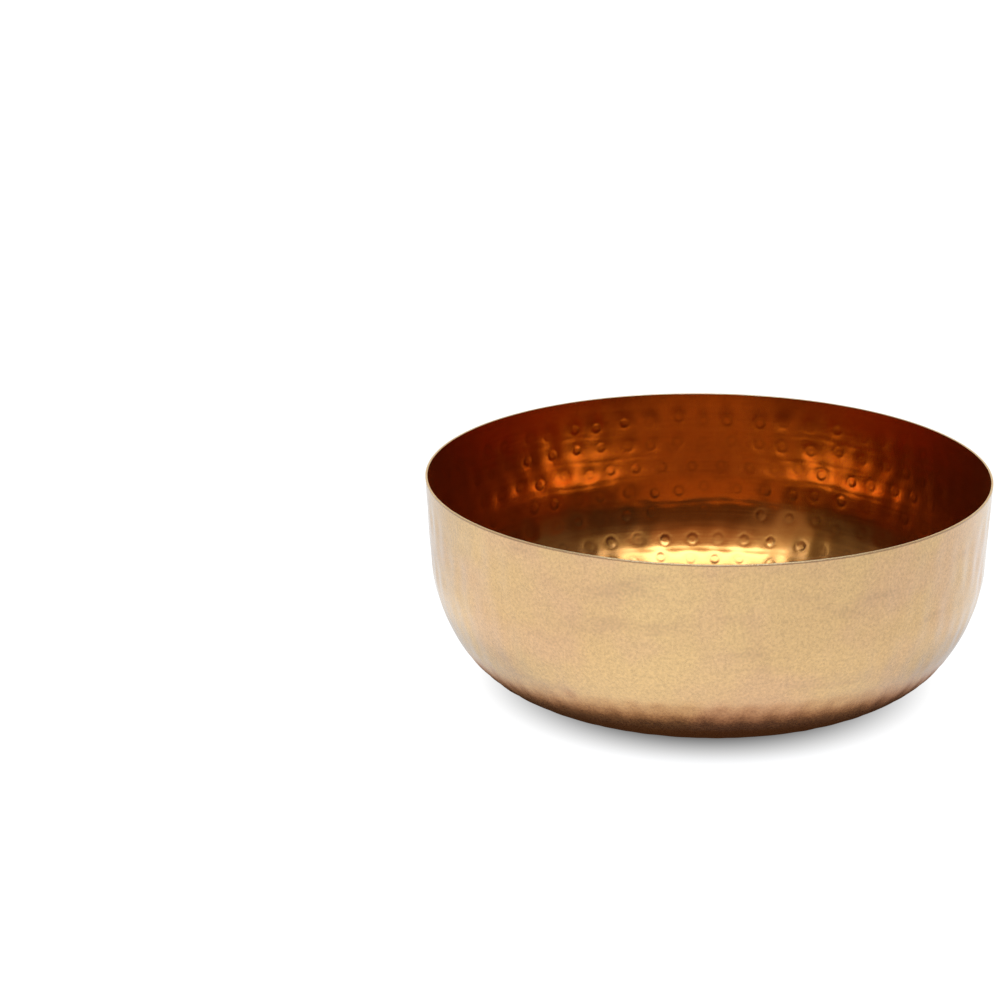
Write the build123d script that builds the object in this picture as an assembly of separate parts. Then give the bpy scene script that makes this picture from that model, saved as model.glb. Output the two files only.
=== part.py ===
from build123d import *
import math
import os

# Hammered copper bowl: one spun sheet of copper that stands on four clear silicone pads.
# The sheet is modelled smooth, at the mean of its hammered surface.
# Frame: +Z up, origin on the table, under the centre of the bowl.
# Lengths are in millimetres, angles in degrees.

# Bowl, measured on its outer face
RIM_DIAMETER = 240.0
BOWL_HEIGHT = 89.0  # from the underside of the flat base up to the rim
SHEET_THICKNESS = 0.9
BASE_DIAMETER = 144.0  # the flat circle in the middle of the bottom
HEEL_RADIUS = 40.4  # the tight curve that leads from the base into the side
HEEL_TURN = 54.0  # how far the heel curve turns the outline upward
WALL_LEAN = 3.5  # how far the straight upper wall leans out from upright
RIM_EASING = 0.35  # rounding of the two edges of the cut rim

# Pads, stuck to the flat base in a ring
PAD_COUNT = 4
PAD_DIAMETER = 10.0  # at the stuck face
PAD_HEIGHT = 1.5
PAD_TAPER = 0.5  # how much less the radius is at the foot
PAD_EDGE_RADIUS = 0.4
PAD_RING_DIAMETER = 116.0
FIRST_PAD_ANGLE = 45.0

# Directions of the outline, counted up from level
HEEL_END = math.radians(HEEL_TURN)
WALL_RISE = math.radians(90.0 - WALL_LEAN)


def side_curve_radius():
    """Radius of the gentle curve between the heel and the straight wall.

    It is the one radius that keeps the outline smooth at both ends and brings the
    straight wall out at the rim's diameter and height.
    """
    run = RIM_DIAMETER / 2 - BASE_DIAMETER / 2 - HEEL_RADIUS * math.sin(HEEL_END)
    rise = BOWL_HEIGHT - HEEL_RADIUS * (1 - math.cos(HEEL_END))
    curve_run = math.sin(WALL_RISE) - math.sin(HEEL_END)
    curve_rise = math.cos(HEEL_END) - math.cos(WALL_RISE)
    wall_run = math.cos(WALL_RISE)
    wall_rise = math.sin(WALL_RISE)
    across = run * wall_rise - rise * wall_run
    return across / (curve_run * wall_rise - curve_rise * wall_run)


def skin_lines(inset):
    """Half outline of one face of the sheet, from the axis up to the rim.

    inset is 0 for the outer face and the sheet's thickness for the inner face.
    """
    base = Line((0, inset), (BASE_DIAMETER / 2, inset))
    heel = JernArc(base @ 1, (1, 0), HEEL_RADIUS - inset, HEEL_TURN)
    side_turn = 90.0 - WALL_LEAN - HEEL_TURN
    side = JernArc(heel @ 1, heel % 1, side_curve_radius() - inset, side_turn)
    height_left = BOWL_HEIGHT - (side @ 1).Y
    rim_point = (side @ 1) + (side % 1) * (height_left / math.sin(WALL_RISE))
    wall = Line(side @ 1, rim_point)
    return [base, heel, side, wall]


def make_bowl_shell():
    """The copper sheet: the gap between its two outlines, turned about the axis."""
    outer = skin_lines(0)
    inner = skin_lines(SHEET_THICKNESS)
    rim = Line(outer[-1] @ 1, inner[-1] @ 1)
    axis = Line(inner[0] @ 0, outer[0] @ 0)
    section = make_face(outer + [rim] + inner + [axis])
    rim_corners = section.vertices().group_by(Axis.Y)[-1]
    section = fillet(rim_corners, RIM_EASING)
    shell = revolve(Plane.XZ * section, Axis.Z, 360)
    return Pos(0, 0, PAD_HEIGHT) * shell


def make_pad(angle):
    """One silicone pad, wide where it is stuck on and a little narrower at its foot."""
    pad = Cone(
        PAD_DIAMETER / 2 - PAD_TAPER,
        PAD_DIAMETER / 2,
        PAD_HEIGHT,
        align=(Align.CENTER, Align.CENTER, Align.MIN),
    )
    foot_edge = pad.edges().group_by(Axis.Z)[0]
    pad = fillet(foot_edge, PAD_EDGE_RADIUS)
    return Rot(0, 0, angle) * Pos(PAD_RING_DIAMETER / 2, 0, 0) * pad


def save(shape, name):
    """Write one piece to its own file."""
    shape.label = name
    export_step(shape, f"parts/{name}.step")


os.makedirs("parts", exist_ok=True)
save(make_bowl_shell(), "bowl_shell")
for number in range(PAD_COUNT):
    pad_angle = FIRST_PAD_ANGLE + number * 360.0 / PAD_COUNT
    save(make_pad(pad_angle), f"base_pad_{number + 1}")
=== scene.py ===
import math

import bpy
import numpy as np
from mathutils import Matrix, Vector


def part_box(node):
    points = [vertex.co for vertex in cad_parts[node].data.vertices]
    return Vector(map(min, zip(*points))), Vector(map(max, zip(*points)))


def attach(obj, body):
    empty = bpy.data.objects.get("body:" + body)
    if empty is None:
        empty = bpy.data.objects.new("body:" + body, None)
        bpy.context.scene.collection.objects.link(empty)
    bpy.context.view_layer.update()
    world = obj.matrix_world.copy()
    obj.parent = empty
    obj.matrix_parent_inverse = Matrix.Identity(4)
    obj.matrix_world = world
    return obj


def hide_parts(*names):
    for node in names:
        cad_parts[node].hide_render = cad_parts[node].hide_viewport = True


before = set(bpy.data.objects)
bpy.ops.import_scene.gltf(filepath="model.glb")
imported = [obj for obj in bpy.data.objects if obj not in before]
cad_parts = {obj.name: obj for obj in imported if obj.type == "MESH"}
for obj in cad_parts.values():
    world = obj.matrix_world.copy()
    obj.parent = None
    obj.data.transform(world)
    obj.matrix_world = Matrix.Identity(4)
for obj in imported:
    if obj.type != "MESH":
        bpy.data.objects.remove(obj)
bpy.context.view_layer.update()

# The hammered copper bowl. The copper sheet is rebuilt here as one closed mesh with its
# hammer marks in the geometry; the silicone pads are the CAD's own. Lengths are in metres.

# ---- Sizes of the bowl ----------------------------------------------------------------
SHELL_LOW, SHELL_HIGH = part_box("bowl_shell")
RIM_RADIUS = 0.120
SHEET = 0.0009
BASE_RADIUS = 0.072
HEEL_RADIUS = 0.0404
HEEL_END = math.radians(54.0)
WALL_RISE = math.radians(90.0 - 3.5)
BASE_Z = SHELL_LOW.z
BOWL_HEIGHT = SHELL_HIGH.z - SHELL_LOW.z
PADS = [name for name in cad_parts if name.startswith("base_pad")]

# ---- Hammer marks ---------------------------------------------------------------------
SEED = 24
ROW_PITCH = 0.0110  # from one row of marks to the next, along the sheet
FIRST_ROW = 0.0125  # from the rim down to the first row
LAST_ROW = 0.004  # no row is nearer to the centre of the base than this
MARK_PITCH = 0.0126  # from mark to mark along a row
MARK_WANDER = 0.0011  # how far a mark strays along its row
ROW_WANDER = 0.0006  # how far it strays across its row
DENT_DEPTH = 0.00022  # the broad soft dent of a blow, which bulges the inner face
DENT_REACH = 0.0042
DENT_SHARES = (0.7, 1.3)  # from the weakest blow to the strongest
DENT_FADE = 3.2 * DENT_REACH  # beyond this a dent is too shallow to count
CRATER_DEPTH = 0.00011  # the small sharp mark of the tool's tip, on the inner face only
CRATER_RADIUS = 0.0023
CRATER_SHARES = (0.35, 1.25)  # how the tip marks vary in depth
CRATER_SIZES = (0.88, 1.12)  # and in width
CRATER_FADE = 2.2 * CRATER_RADIUS
LIP_HEIGHT = 0.00003
LIP_PLACE, LIP_WIDTH = 1.12, 0.22  # as shares of the crater's radius
# Where the brown ring in each tip mark lies: partly patina, partly painted shade that outlines the mark.
PATINA_SHADE_PLACE, PATINA_SHADE_WIDTH = 0.86, 0.26
CREASE_HEIGHT = 0.00005  # the fine ridge that is left between two rows
CREASE_WIDTH = 0.0010
CREASE_SWAY = 0.0005
RIPPLE_DEPTH = 0.00005  # upright ripples that the blows leave in the wall
RIPPLES = ((47, 0.4, 9.0), (59, 2.1, -14.0), (73, 4.0, 11.0))  # waves around, start, drift
DRIFT_SPAN = 0.110  # the ripples drift by that angle over this length of sheet
PAD_CALM = (0.0055, 0.0085)  # no marks within the first distance of a pad's centre

# ---- Mesh -----------------------------------------------------------------------------
OUTSIDE, CUT_EDGE, INSIDE = 0, 1, 2  # the three finishes, in the order of the materials
INNER_COLUMNS = 1152
OUTER_COLUMNS = 576
INNER_STEP = 0.00065
OUTER_STEP = 0.0013
FEWEST_COLUMNS = 18
THINNEST = 0.55  # the narrowest that a face may be, as a share of its length
RIM_EASE = 0.00020  # rounding of the two edges of the cut rim
RIM_TURNS = (18, 36, 54, 72, 90)
SUPPORT = 0.00008  # rings this far below the rounding keep the walls' shading flat


# ---- The section of the sheet ---------------------------------------------------------
def side_curve():
    """Radius of the gentle side curve and length of the straight wall above it."""
    run = RIM_RADIUS - BASE_RADIUS - HEEL_RADIUS * math.sin(HEEL_END)
    rise = BOWL_HEIGHT - HEEL_RADIUS * (1 - math.cos(HEEL_END))
    curve_run = math.sin(WALL_RISE) - math.sin(HEEL_END)
    curve_rise = math.cos(HEEL_END) - math.cos(WALL_RISE)
    wall_run, wall_rise = math.cos(WALL_RISE), math.sin(WALL_RISE)
    radius = (run * wall_rise - rise * wall_run) / (curve_run * wall_rise - curve_rise * wall_run)
    return radius, (rise - radius * curve_rise) / wall_rise


SIDE_RADIUS, WALL_LENGTH = side_curve()
HEEL_LENGTH = HEEL_RADIUS * HEEL_END
SIDE_LENGTH = SIDE_RADIUS * (WALL_RISE - HEEL_END)
SHEET_LENGTH = BASE_RADIUS + HEEL_LENGTH + SIDE_LENGTH + WALL_LENGTH


def section(along):
    """Radius, height and slope of the outer face, at a distance along it from its centre."""
    heel = np.clip(along - BASE_RADIUS, 0, HEEL_LENGTH) / HEEL_RADIUS
    side = np.clip(along - BASE_RADIUS - HEEL_LENGTH, 0, SIDE_LENGTH) / SIDE_RADIUS
    wall = np.maximum(along - BASE_RADIUS - HEEL_LENGTH - SIDE_LENGTH, 0)
    slope = heel + side
    radius = np.minimum(along, BASE_RADIUS) + HEEL_RADIUS * np.sin(heel)
    radius = radius + SIDE_RADIUS * (np.sin(HEEL_END + side) - math.sin(HEEL_END))
    radius = radius + wall * math.cos(WALL_RISE)
    height = HEEL_RADIUS * (1 - np.cos(heel))
    height = height + SIDE_RADIUS * (math.cos(HEEL_END) - np.cos(HEEL_END + side))
    height = height + wall * math.sin(WALL_RISE)
    return radius, height, slope


# ---- Hammer marks ---------------------------------------------------------------------
def hammer_marks():
    """Every blow as a row of (along, angle, dent strength, crater strength, crater size)."""
    draw = np.random.default_rng(SEED)
    marks = []
    row_places = np.arange(SHEET_LENGTH - FIRST_ROW, LAST_ROW, -ROW_PITCH)
    for place in row_places:
        row_radius = float(section(np.array(place))[0])
        count = max(1, round(2 * math.pi * row_radius / MARK_PITCH))
        angles = (np.arange(count) + draw.uniform()) * 2 * math.pi / count
        angles = angles + draw.normal(0, MARK_WANDER / row_radius, count)
        sway = ROW_WANDER * np.sin(angles * 2 + draw.uniform(0, 2 * math.pi))
        along = place + sway + draw.normal(0, ROW_WANDER, count)
        dent = draw.uniform(*DENT_SHARES, count)
        crater = draw.uniform(*CRATER_SHARES, count)
        size = draw.uniform(*CRATER_SIZES, count)
        marks.append(np.stack([along, angles, dent, crater, size], 1))
    return np.concatenate(marks), row_places


MARKS, ROWS = hammer_marks()


def distance_squared(along, angles, marks):
    """Squared distance over the sheet from points on one ring to each of the marks."""
    ring_radius = section(np.array(along))[0]
    mark_radius = section(marks[:, 0])[0]
    half = np.sin((angles[:, None] - marks[None, :, 1]) / 2)
    return (along - marks[None, :, 0]) ** 2 + 4 * ring_radius * mark_radius * half ** 2


def soft_step(value, low, high):
    """From 0 at low to 1 at high, level at both ends."""
    share = np.clip((value - low) / (high - low), 0, 1)
    return share * share * (3 - 2 * share)


def dents(along, angles):
    """How far the blows push the whole sheet inward, around one ring."""
    near = MARKS[np.abs(MARKS[:, 0] - along) < DENT_FADE]
    if not len(near):
        return np.zeros(len(angles))
    square = distance_squared(along, angles, near)
    return (DENT_DEPTH * near[:, 2] * np.exp(-square / DENT_REACH ** 2)).sum(1)


def creases(along, angles):
    """The ridge, inward, that sways and fades along halfway between two rows.

    Each row's ridge has its own waves, from its number, so that no two are alike.
    """
    between = (ROWS[:-1] + ROWS[1:]) / 2
    row = int(np.abs(between - along).argmin())
    sway = CREASE_SWAY * np.sin(angles * (7 + row) + 2.4 * row)
    sway = sway + CREASE_SWAY * np.sin(angles * (19 - row) + 1.1 * row)
    strength = 0.65 + 0.35 * np.sin(angles * (3 + row % 4) + 1.7 * row)
    gap = along - between[row] - sway
    return CREASE_HEIGHT * strength * np.exp(-((gap / CREASE_WIDTH) ** 2))


def ripples(along, angles):
    """Upright ripples around one ring, which fade out at the rim and below the wall."""
    share = soft_step(along, BASE_RADIUS, BASE_RADIUS + HEEL_LENGTH)
    share = share * soft_step(SHEET_LENGTH - along, 0, FIRST_ROW)
    waves = np.zeros(len(angles))
    for count, start, drift in RIPPLES:
        waves = waves + np.sin(count * angles + start + drift * along / DRIFT_SPAN)
    return RIPPLE_DEPTH * share * waves


def calm_by_pads(along, angles):
    """From 0 where a pad is stuck on, so that it sits flat, to 1 away from the pads."""
    share = np.ones(len(angles))
    if along > BASE_RADIUS:
        return share
    for name in PADS:
        middle = sum(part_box(name), Vector()) / 2
        gap = np.hypot(along * np.cos(angles) - middle.x, along * np.sin(angles) - middle.y)
        share = share * soft_step(gap, *PAD_CALM)
    return share


def craters(along, angles):
    """How deep the tip marks cut into the inner face, around one ring."""
    near = MARKS[np.abs(MARKS[:, 0] - along) < CRATER_FADE]
    if not len(near):
        return np.zeros(len(angles))
    square = distance_squared(along, angles, near)
    share = np.sqrt(square) / (CRATER_RADIUS * near[:, 4])
    bowl = np.clip(1 - share ** 2, 0, 1)
    bowl = bowl * (2 - bowl) * CRATER_DEPTH
    lip = LIP_HEIGHT * np.exp(-(((share - LIP_PLACE) / LIP_WIDTH) ** 2))
    return ((bowl - lip) * near[:, 3]).sum(1)


def patina_and_shade(along, angles):
    """How dark the ring in each tip mark is, from 0 to 1, around one ring of the inner face: partly brown
    oxide, partly painted shade that outlines the mark.
    """
    near = MARKS[np.abs(MARKS[:, 0] - along) < CRATER_FADE]
    if not len(near):
        return np.zeros(len(angles))
    share = np.sqrt(distance_squared(along, angles, near)) / (CRATER_RADIUS * near[:, 4])
    rings = np.exp(-(((share - PATINA_SHADE_PLACE) / PATINA_SHADE_WIDTH) ** 2))
    return np.clip((rings * near[:, 3]).sum(1), 0, 1)


# ---- Meshes ---------------------------------------------------------------------------
def stitch(faces, lower, upper):
    """Faces between two rings, each (first vertex, count); counts are equal or 1 to 2."""
    (a, n), (b, m) = lower, upper
    if n == m:
        for i in range(n):
            j = (i + 1) % n
            faces.append((a + i, a + j, b + j, b + i))
    elif m == 2 * n:
        for i in range(n):
            j = (i + 1) % n
            left, middle, right = b + 2 * i, b + 2 * i + 1, b + (2 * i + 2) % m
            faces.append((a + i, middle, left))
            faces.append((a + i, a + j, middle))
            faces.append((a + j, right, middle))
    else:
        for i in range(m):
            j = (i + 1) % m
            left, middle, right = a + 2 * i, a + 2 * i + 1, a + (2 * i + 2) % n
            faces.append((b + i, left, middle))
            faces.append((b + i, middle, b + j))
            faces.append((b + j, middle, right))


def columns_at(radius, columns, step):
    """How many columns a ring needs: halved towards the centre, so no face gets too thin."""
    while columns > FEWEST_COLUMNS and 2 * math.pi * radius / columns < THINNEST * step:
        columns //= 2
    return columns


def shell_rings():
    """The section as rings (along, depth into the sheet, columns, finish), in order
    from the centre of the outer face, over the rim, to the centre of the inner face."""
    rings = []
    top = SHEET_LENGTH - RIM_EASE  # where the rounding of the rim begins
    steps = round(top / OUTER_STEP)
    for along in np.linspace(0, top, steps + 1)[1:]:
        radius = float(section(np.array(along))[0])
        rings.append((along, 0.0, columns_at(radius, OUTER_COLUMNS, OUTER_STEP), OUTSIDE))
    rings.insert(-1, (top - SUPPORT, 0.0, OUTER_COLUMNS, OUTSIDE))
    rounding = []
    for turn in RIM_TURNS:
        lift = RIM_EASE * math.sin(math.radians(turn))
        sink = RIM_EASE * (1 - math.cos(math.radians(turn)))
        rounding.append((top + lift, sink))
    for along, sink in rounding:
        rings.append((along, sink, OUTER_COLUMNS, CUT_EDGE))
    for along, sink in reversed(rounding):
        rings.append((along, SHEET - sink, INNER_COLUMNS, CUT_EDGE))
    rings.append((top, SHEET, INNER_COLUMNS, INSIDE))
    rings.append((top - SUPPORT, SHEET, INNER_COLUMNS, INSIDE))
    steps = round(top / INNER_STEP)
    for along in np.linspace(0, top, steps + 1)[-2:0:-1]:
        radius = float(section(np.array(along))[0])
        rings.append((along, SHEET, columns_at(radius, INNER_COLUMNS, INNER_STEP), INSIDE))
    return rings


def ring_points(along, depth, angles):
    """The vertices of one ring, with the hammer marks in their places."""
    radius, height, slope = section(np.array(along))
    level = DENT_MEAN * soft_step(SHEET_LENGTH - along, 0, FIRST_ROW)
    ripple = ripples(along, angles) * (1 - 0.5 * depth / SHEET)
    inward = dents(along, angles) - level + creases(along, angles) + ripple
    inward = inward * calm_by_pads(along, angles)
    inward = inward + depth - depth / SHEET * craters(along, angles)
    out = radius - inward * np.sin(slope)
    up = BASE_Z + height + inward * np.cos(slope)
    return np.stack([out * np.cos(angles), out * np.sin(angles), up], 1)


def mean_dent():
    """The dents' mean depth from the heel up to near the rim. It is taken off, so that
    the sheet keeps its size."""
    angles = np.linspace(0, 2 * math.pi, 400, endpoint=False)
    places = np.linspace(0.09, SHEET_LENGTH - 0.01, 80)
    return float(np.mean([dents(place, angles) for place in places]))


DENT_MEAN = mean_dent()


def close_middle(faces, centre, ring, outward):
    """A fan of faces from a ring (first vertex, count) to the vertex in its middle."""
    start, count = ring
    for i in range(count):
        j = (i + 1) % count
        faces.append((centre, start + j, start + i) if outward else (centre, start + i, start + j))


def build_shell():
    """The copper sheet as one closed mesh: outer face, cut rim and inner face."""
    rings = shell_rings()
    points = [np.array([[0.0, 0.0, BASE_Z]])]
    patina_shades = [np.zeros(1)]
    spans = []
    first = 1
    for along, depth, columns, _ in rings:
        angles = np.arange(columns) * 2 * math.pi / columns
        points.append(ring_points(along, depth, angles))
        patina_shades.append(patina_and_shade(along, angles))
        spans.append((first, columns))
        first += columns
    points.append(np.array([[0.0, 0.0, BASE_Z + SHEET]]))
    patina_shades.append(np.zeros(1))
    faces = []
    close_middle(faces, 0, spans[0], True)
    finishes = [OUTSIDE] * len(faces)
    for k in range(len(spans) - 1):
        stitch(faces, spans[k], spans[k + 1])
        finish = CUT_EDGE if rings[k][3] == CUT_EDGE else rings[k + 1][3]
        finishes += [finish] * (len(faces) - len(finishes))
    close_middle(faces, first, spans[-1], False)
    finishes += [INSIDE] * (len(faces) - len(finishes))
    mesh = bpy.data.meshes.new("bowl_shell_hammered")
    mesh.from_pydata(np.concatenate(points).tolist(), [], faces)
    mesh.polygons.foreach_set("material_index", finishes)
    mesh.polygons.foreach_set("use_smooth", [True] * len(faces))
    # The rings of patina and painted shade in the tip marks, read by the inside material.
    ring = mesh.attributes.new("patina_shade_ring", "FLOAT", "POINT")
    ring.data.foreach_set("value", np.concatenate(patina_shades).astype(np.float32))
    mesh.update()
    return mesh


def new_object(name, mesh):
    piece = bpy.data.objects.new(name, mesh)
    bpy.context.scene.collection.objects.link(piece)
    return piece


# ---- Materials ------------------------------------------------------------------------
OUTER_PALE = (0.825, 0.530, 0.212)
OUTER_DEEP = (0.785, 0.485, 0.190)
OUTER_BLUSH = (0.765, 0.435, 0.240)
OUTER_SMUDGE = (0.56, 0.33, 0.16)
# Painted shade: a thin dark line under the rim on the outside, standing in for the dark that the rim's edge
# reflects.
PAINTED_RIM_SHADE = (0.26, 0.10, 0.025)
PAINTED_RIM_SHADE_SPAN = (0.00095, 0.00050)  # how far below the rim the painted shade line starts and is full
INNER_PALE = (0.710, 0.275, 0.058)
INNER_DEEP = (0.660, 0.240, 0.048)
INNER_BAND = (0.60, 0.21, 0.042)
# Brown rings in the tip marks: partly patina, partly painted shade that outlines each mark.
INNER_PATINA_AND_SHADE = (0.42, 0.15, 0.035)
EDGE_BRIGHT = (0.98, 0.70, 0.36)
EDGE_DULL = (0.95, 0.62, 0.29)
SILICONE_CLEAR = (0.90, 0.92, 0.92)
SILICONE_CLOUD = (0.78, 0.80, 0.79)
WHITE = (1.0, 1.0, 1.0)


class Nodes:
    """A short way to build the node tree of a material or of the world."""

    def __init__(self, holder, shader="Principled BSDF"):
        holder.use_nodes = True
        self.tree = holder.node_tree
        self.shader = self.tree.nodes[shader]

    def add(self, kind, inputs=(), **settings):
        """A new node; inputs are (name or number, a value or another node's output)."""
        node = self.tree.nodes.new(kind)
        for key, value in settings.items():
            setattr(node, key, value)
        for key, value in inputs:
            self.feed(node, key, value)
        return node

    def feed(self, node, key, value):
        if isinstance(value, bpy.types.NodeSocket):
            self.tree.links.new(value, node.inputs[key])
        else:
            node.inputs[key].default_value = value

    def finish(self, **values):
        """Sets the shader's own inputs, with _ for a space in their names."""
        for key, value in values.items():
            self.feed(self.shader, key.replace("_", " "), value)

    def math(self, operation, first, second=0.0):
        return self.add("ShaderNodeMath", ((0, first), (1, second)), operation=operation).outputs[0]

    def place(self):
        return self.add("ShaderNodeTexCoord").outputs["Object"]

    def sheet_place(self, around, along):
        """Noise coordinates on the bowl's sheet: so many steps per radian about the axis,
        and so many per metre from the centre of the base to the rim, without a seam."""
        place = self.place()
        flat = self.add("ShaderNodeVectorMath", ((0, place), (1, (1, 1, 0))), operation="MULTIPLY")
        length = self.add("ShaderNodeVectorMath", ((0, flat.outputs[0]),), operation="LENGTH")
        unit = self.add("ShaderNodeVectorMath", ((0, flat.outputs[0]),), operation="NORMALIZE")
        ring = self.add("ShaderNodeVectorMath", ((0, unit.outputs[0]), ("Scale", around)), operation="SCALE")
        height = self.add("ShaderNodeSeparateXYZ", ((0, place),)).outputs["Z"]
        way = self.math("MULTIPLY", self.math("ADD", length.outputs["Value"], height), along)
        lift = self.add("ShaderNodeCombineXYZ", (("Z", way),)).outputs[0]
        both = self.add("ShaderNodeVectorMath", ((0, ring.outputs[0]), (1, lift)), operation="ADD")
        return both.outputs[0]

    def noise(self, place, scale, detail=2.0, roughness=0.5):
        inputs = (("Vector", place), ("Scale", scale), ("Detail", detail), ("Roughness", roughness))
        return self.add("ShaderNodeTexNoise", inputs).outputs[0]

    def spread(self, value, low, high, to_low, to_high, smooth=False):
        """Maps low..high to to_low..to_high and stops at both ends."""
        inputs = (("Value", value), ("From Min", low), ("From Max", high))
        inputs = inputs + (("To Min", to_low), ("To Max", to_high))
        kind = "SMOOTHSTEP" if smooth else "LINEAR"
        return self.add("ShaderNodeMapRange", inputs, interpolation_type=kind).outputs[0]

    def mix(self, share, first, second):
        """A colour between two colours; a colour is a tuple or another node's output."""
        node = self.add("ShaderNodeMix", data_type="RGBA")
        self.feed(node, "Factor", share)
        for key, colour in ((6, first), (7, second)):
            self.feed(node, key, (*colour, 1) if isinstance(colour, tuple) else colour)
        return node.outputs[2]

    def dim(self, colour, share):
        """The colour times a number."""
        inputs = ((0, colour), ("Scale", share))
        return self.add("ShaderNodeVectorMath", inputs, operation="SCALE").outputs[0]

    def bump(self, height, distance, strength=1.0, normal=None):
        inputs = (("Height", height), ("Distance", distance), ("Strength", strength))
        if normal is not None:
            inputs = inputs + (("Normal", normal),)
        return self.add("ShaderNodeBump", inputs).outputs[0]


def copper_outside():
    """Satin lacquered copper: fine sand-like grain, soft tarnish, a few dull smudges, and a thin line of
    painted shade close under the rim."""
    material = bpy.data.materials.new("copper_satin_outside")
    n = Nodes(material)
    place = n.place()
    tarnish = n.spread(n.noise(place, 14.0, 2.0), 0.36, 0.68, 0.0, 1.0, smooth=True)
    blush = n.spread(n.noise(place, 32.0, 2.0), 0.40, 0.66, 0.0, 1.0, smooth=True)
    grain = n.noise(place, 850.0, 1.5, 0.5)
    smudge = n.noise(n.sheet_place(2.6, 60.0), 1.0, 4.0, 0.6)
    smudge = n.spread(smudge, 0.53, 0.74, 0.0, 1.0, smooth=True)
    colour = n.mix(tarnish, OUTER_PALE, OUTER_DEEP)
    colour = n.mix(n.math("MULTIPLY", blush, 0.45), colour, OUTER_BLUSH)
    colour = n.mix(n.math("MULTIPLY", smudge, 0.40), colour, OUTER_SMUDGE)
    colour = n.dim(colour, n.spread(grain, 0.28, 0.72, 0.84, 1.16))
    height = n.add("ShaderNodeSeparateXYZ", ((0, place),)).outputs["Z"]
    # Painted shade: darker by height in a thin line close under the rim.
    rim_shade_low, rim_shade_high = (SHELL_HIGH.z - below for below in PAINTED_RIM_SHADE_SPAN)
    painted_rim_shade = n.spread(height, rim_shade_low, rim_shade_high, 0.0, 0.75, smooth=True)
    colour = n.mix(painted_rim_shade, colour, PAINTED_RIM_SHADE)
    roughness = n.spread(grain, 0.25, 0.75, 0.24, 0.36)
    roughness = n.math("ADD", roughness, n.math("MULTIPLY", smudge, 0.06))
    swell = n.bump(n.noise(place, 160.0, 2.0), 0.00003)
    n.finish(Base_Color=colour, Metallic=1.0, Roughness=roughness)
    n.finish(Normal=n.bump(grain, 0.000002, 1.0, swell))
    n.finish(Coat_Weight=1.0, Coat_Roughness=0.12, Coat_IOR=1.75)
    return material


def copper_inside():
    """Bright copper with fine turning lines round it, and brown rings in the hammer marks, partly oxide and
    partly painted shade.
    """
    material = bpy.data.materials.new("copper_bright_inside")
    n = Nodes(material)
    place = n.place()
    lines = n.noise(n.sheet_place(2.2, 1500.0), 1.0, 2.0, 0.6)
    bands = n.noise(n.sheet_place(1.6, 210.0), 1.0, 3.0)
    patches = n.spread(n.noise(place, 24.0, 3.0), 0.36, 0.68, 0.0, 1.0, smooth=True)
    ring = n.add("ShaderNodeAttribute", attribute_name="patina_shade_ring").outputs["Fac"]
    colour = n.mix(patches, INNER_PALE, INNER_DEEP)
    colour = n.mix(n.spread(bands, 0.35, 0.75, 0.0, 0.30), colour, INNER_BAND)
    # Brown ring in each tip mark: partly patina, partly painted shade.
    colour = n.mix(n.math("MULTIPLY", ring, 0.60), colour, INNER_PATINA_AND_SHADE)
    colour = n.dim(colour, n.spread(lines, 0.25, 0.75, 0.96, 1.03))
    roughness = n.spread(lines, 0.25, 0.75, 0.17, 0.23)
    roughness = n.math("ADD", roughness, n.math("MULTIPLY", patches, 0.03))
    swell = n.bump(n.noise(place, 190.0, 2.0), 0.00002)
    n.finish(Base_Color=colour, Metallic=0.99, Roughness=roughness)
    n.finish(Normal=n.bump(lines, 0.000004, 1.0, swell))
    n.finish(Coat_Weight=0.15, Coat_Roughness=0.1, Coat_IOR=1.5)
    return material


def copper_cut_edge():
    """The sanded edge of the sheet: paler bare metal with fine scratches along it."""
    material = bpy.data.materials.new("copper_cut_edge")
    n = Nodes(material)
    scratches = n.noise(n.sheet_place(9.0, 9000.0), 1.0, 2.0)
    dull = n.noise(n.place(), 260.0, 2.0)
    colour = n.mix(n.spread(dull, 0.4, 0.7, 0.0, 1.0), EDGE_BRIGHT, EDGE_DULL)
    n.finish(Base_Color=colour, Metallic=1.0)
    n.finish(Roughness=n.spread(scratches, 0.3, 0.7, 0.28, 0.42))
    n.finish(Normal=n.bump(scratches, 0.000004))
    return material


def clear_silicone():
    """Soft clear silicone, slightly cloudy, with a faintly dusty matt skin."""
    material = bpy.data.materials.new("clear_silicone")
    n = Nodes(material)
    cloud = n.noise(n.place(), 420.0, 3.0)
    dust = n.noise(n.place(), 2600.0, 1.0)
    n.finish(Base_Color=n.mix(n.spread(cloud, 0.3, 0.7, 0.0, 1.0), SILICONE_CLEAR, SILICONE_CLOUD))
    n.finish(Roughness=n.spread(dust, 0.3, 0.7, 0.22, 0.42))
    n.finish(Normal=n.bump(dust, 0.00001))
    n.finish(Transmission_Weight=0.35, IOR=1.41)
    return material


# ---- The object -----------------------------------------------------------------------
shell = new_object("hammered_sheet", build_shell())
for make_material in (copper_outside, copper_cut_edge, copper_inside):
    shell.data.materials.append(make_material())
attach(shell, "root")
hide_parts("bowl_shell")

pad_material = clear_silicone()
for pad_name in PADS:
    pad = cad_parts[pad_name]
    pad.data.materials.clear()
    pad.data.materials.append(pad_material)


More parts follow.
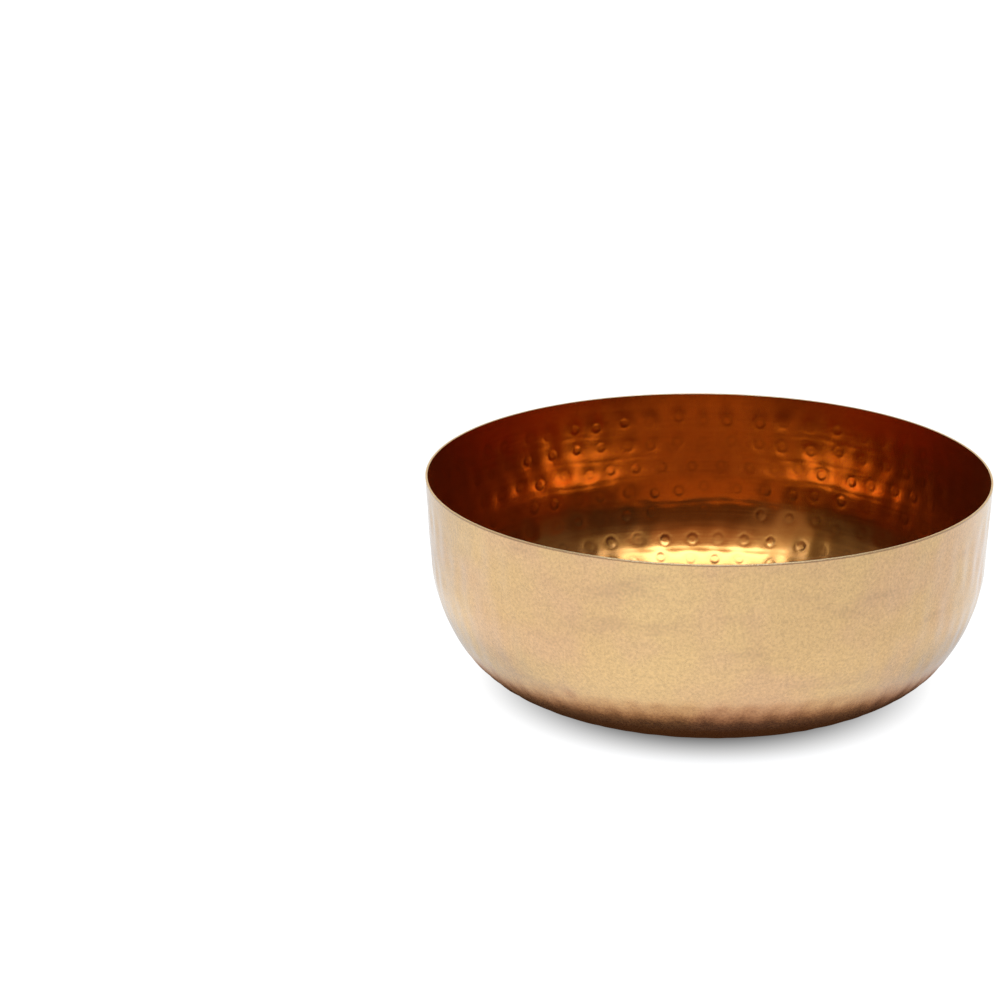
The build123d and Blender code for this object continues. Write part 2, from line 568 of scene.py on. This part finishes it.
# ---- Studio ---------------------------------------------------------------------------
FLOOR_GLOW = 0.86  # what the copper reflects
SHADE_SPAN = (0.0995, 0.121)  # from the dark under the bowl to the open floor, in reflections
CAMERA_SPAN = (0.063, 0.114)  # the same as the camera sees it, a tight shadow
CAMERA_GLOW = 1.08
BOUNCE = 0.05  # the share of its light that the floor keeps under the bowl
WARM_SPAN = (0.098, 0.124)  # within this the floor is lit by what the copper throws on it
WARM_FLOOR = (1.0, 0.38, 0.15)
FLOOR_REACH = 7.0
FLOOR_CORNERS = 96
CARD_WAY = (-0.591, -0.656, 0.469)  # toward a pale card low down at the front left
CARD_GLOW = 0.36
FRONT_TINT = (1.0, 0.45, 0.20)
COOL = (0.50, 0.72, 1.05)  # the lamps' tint, which copper warms to white


def build_floor():
    """A round pale floor that glows, but not in the shade under the bowl.

    For the copper it is also dimmer close to the sides and the back of the bowl, brighter
    behind it on the right than on the left, and brightest along a line left of its middle.
    The camera sees it white, with a tight shadow.
    """
    angles = [2 * math.pi * i / FLOOR_CORNERS for i in range(FLOOR_CORNERS)]
    corners = [(FLOOR_REACH * math.cos(a), FLOOR_REACH * math.sin(a), 0) for a in angles]
    mesh = bpy.data.meshes.new("floor")
    mesh.from_pydata(corners, [], [tuple(range(FLOOR_CORNERS))])
    floor = new_object("floor", mesh)
    material = bpy.data.materials.new("floor_white")
    n = Nodes(material)
    oval = n.add("ShaderNodeVectorMath", ((0, n.place()), (1, (1.08, 1, 1))), operation="MULTIPLY")
    away = n.add("ShaderNodeVectorMath", ((0, oval.outputs[0]),), operation="LENGTH").outputs["Value"]
    apart = n.add("ShaderNodeSeparateXYZ", ((0, n.place()),)).outputs
    off = n.math("ABSOLUTE", n.math("ADD", apart["X"], 0.15))
    glow = n.spread(away, *SHADE_SPAN, BOUNCE, FLOOR_GLOW, smooth=True)
    beside = n.spread(apart["Y"], -0.12, -0.04, 0.0, 0.30, smooth=True)
    beside = n.math("MULTIPLY", beside, n.spread(away, 0.125, 0.18, 1.0, 0.0, smooth=True))
    glow = n.math("MULTIPLY", glow, n.math("SUBTRACT", 1.0, beside))
    lift = n.spread(apart["X"], -0.18, 0.18, -0.16, 0.10)
    behind = n.math("MULTIPLY", lift, n.spread(apart["Y"], -0.02, 0.12, 0.0, 1.0, smooth=True))
    glow = n.math("MULTIPLY", glow, n.math("ADD", 1.0, behind))
    glow = n.math("MULTIPLY", glow, n.spread(off, 0.0, 0.55, 1.06, 0.86, smooth=True))
    warmth = n.mix(n.spread(away, *WARM_SPAN, 0.0, 1.0, smooth=True), WARM_FLOOR, WHITE)
    seen = n.add("ShaderNodeLightPath").outputs["Is Camera Ray"]
    clear = n.spread(away, *CAMERA_SPAN, 0.0, CAMERA_GLOW, smooth=True)
    level = n.add("ShaderNodeMix", ((0, seen), (2, glow), (3, clear)), data_type="FLOAT").outputs[0]
    n.finish(Base_Color=(0.05, 0.05, 0.05, 1), Roughness=0.8, Specular_IOR_Level=0.0)
    n.finish(Emission_Color=n.mix(seen, warmth, WHITE), Emission_Strength=level)
    mesh.materials.append(material)


def add_softbox(name, place, width, depth, radiance):
    """A cool-tinted area light that faces straight down, as bright as radiance says."""
    light = bpy.data.lights.new(name, "AREA")
    light.shape = "RECTANGLE"
    light.size = width
    light.size_y = depth
    light.energy = radiance * math.pi * width * depth
    light.color = COOL
    lamp = bpy.data.objects.new(name, light)
    lamp.location = place
    bpy.context.scene.collection.objects.link(lamp)


def build_world():
    """White to the camera. In lights and reflections it is a soft room: brightest halfway
    up, with a pale band of backdrop behind and dim sides. Low down in front it is dark and
    warm, but for one pale card."""
    world = bpy.data.worlds.new("studio")
    bpy.context.scene.world = world
    n = Nodes(world, "Background")
    way = n.add("ShaderNodeTexCoord").outputs["Generated"]
    apart = n.add("ShaderNodeSeparateXYZ", ((0, way),)).outputs
    dome = n.spread(apart["Z"], 0.15, 0.60, 0.14, 0.46, smooth=True)
    dome = n.math("MULTIPLY", dome, n.spread(apart["Z"], 0.70, 0.92, 1.0, 0.72, smooth=True))
    front_side = n.spread(apart["Y"], -0.25, -0.70, 0.0, 1.0, smooth=True)
    front = n.math("MULTIPLY", front_side, n.spread(apart["Z"], 0.45, 0.76, 1.0, 0.0, smooth=True))
    dome = n.math("MULTIPLY", dome, n.math("SUBTRACT", 1.0, n.math("MULTIPLY", front, 0.7)))
    side = n.spread(n.math("ABSOLUTE", apart["X"]), 0.25, 0.50, 0.0, 0.60, smooth=True)
    side = n.math("MULTIPLY", side, n.spread(apart["Y"], 0.15, -0.10, 0.0, 1.0, smooth=True))
    dome = n.math("MULTIPLY", dome, n.math("SUBTRACT", 1.0, side))
    backdrop = n.spread(apart["Y"], 0.30, 0.80, 0.0, 1.1, smooth=True)
    backdrop = n.math("MULTIPLY", backdrop, n.spread(apart["Z"], 0.18, 0.28, 0.2, 1.0, smooth=True))
    backdrop = n.math("MULTIPLY", backdrop, n.spread(apart["Z"], 0.30, 0.46, 1.0, 0.0, smooth=True))
    toward = n.add("ShaderNodeVectorMath", ((0, way), (1, CARD_WAY)), operation="DOT_PRODUCT")
    card = n.spread(toward.outputs["Value"], 0.955, 0.998, 0.0, CARD_GLOW, smooth=True)
    room = n.math("ADD", n.math("ADD", dome, backdrop), card)
    seen = n.add("ShaderNodeLightPath").outputs["Is Camera Ray"]
    warmth = n.math("MULTIPLY", front_side, n.spread(apart["Z"], 0.62, 0.86, 1.0, 0.0, smooth=True))
    warmth = n.math("SUBTRACT", warmth, n.math("MULTIPLY", card, 2.0))
    colour = n.mix(warmth, WHITE, FRONT_TINT)
    n.finish(Color=n.mix(seen, colour, WHITE), Strength=n.math("MAXIMUM", room, seen))


build_floor()
add_softbox("wide_softbox", (-0.02, -0.79, 1.3), 2.4, 0.28, 3.6)
add_softbox("core_softbox", (0.0, -0.64, 1.28), 1.5, 0.48, 5.6)
build_world()


# ---- Camera ---------------------------------------------------------------------------
CAMERA_PLACE = (-0.08835, -1.36823, BASE_Z + 0.5237)
LOOK_DOWN = math.radians(18.08)
ROLL = math.radians(-0.21)
LENS, SENSOR = 121.76, 36.0  # in millimetres
BOUNCES = 24  # enough for light that goes round and round inside the bowl


def build_camera():
    """The camera, which looks along +Y and down into the bowl."""
    data = bpy.data.cameras.new("camera")
    data.sensor_width = SENSOR
    data.lens = LENS
    data.clip_start = 0.05
    data.clip_end = 60.0
    camera = bpy.data.objects.new("camera", data)
    turn = Matrix.Rotation(math.pi / 2 - LOOK_DOWN, 4, "X") @ Matrix.Rotation(ROLL, 4, "Z")
    camera.matrix_world = Matrix.Translation(CAMERA_PLACE) @ turn
    bpy.context.scene.collection.objects.link(camera)
    bpy.context.scene.camera = camera


build_camera()
scene = bpy.context.scene
scene.view_settings.view_transform = "Standard"
scene.cycles.max_bounces = BOUNCES
scene.cycles.glossy_bounces = BOUNCES
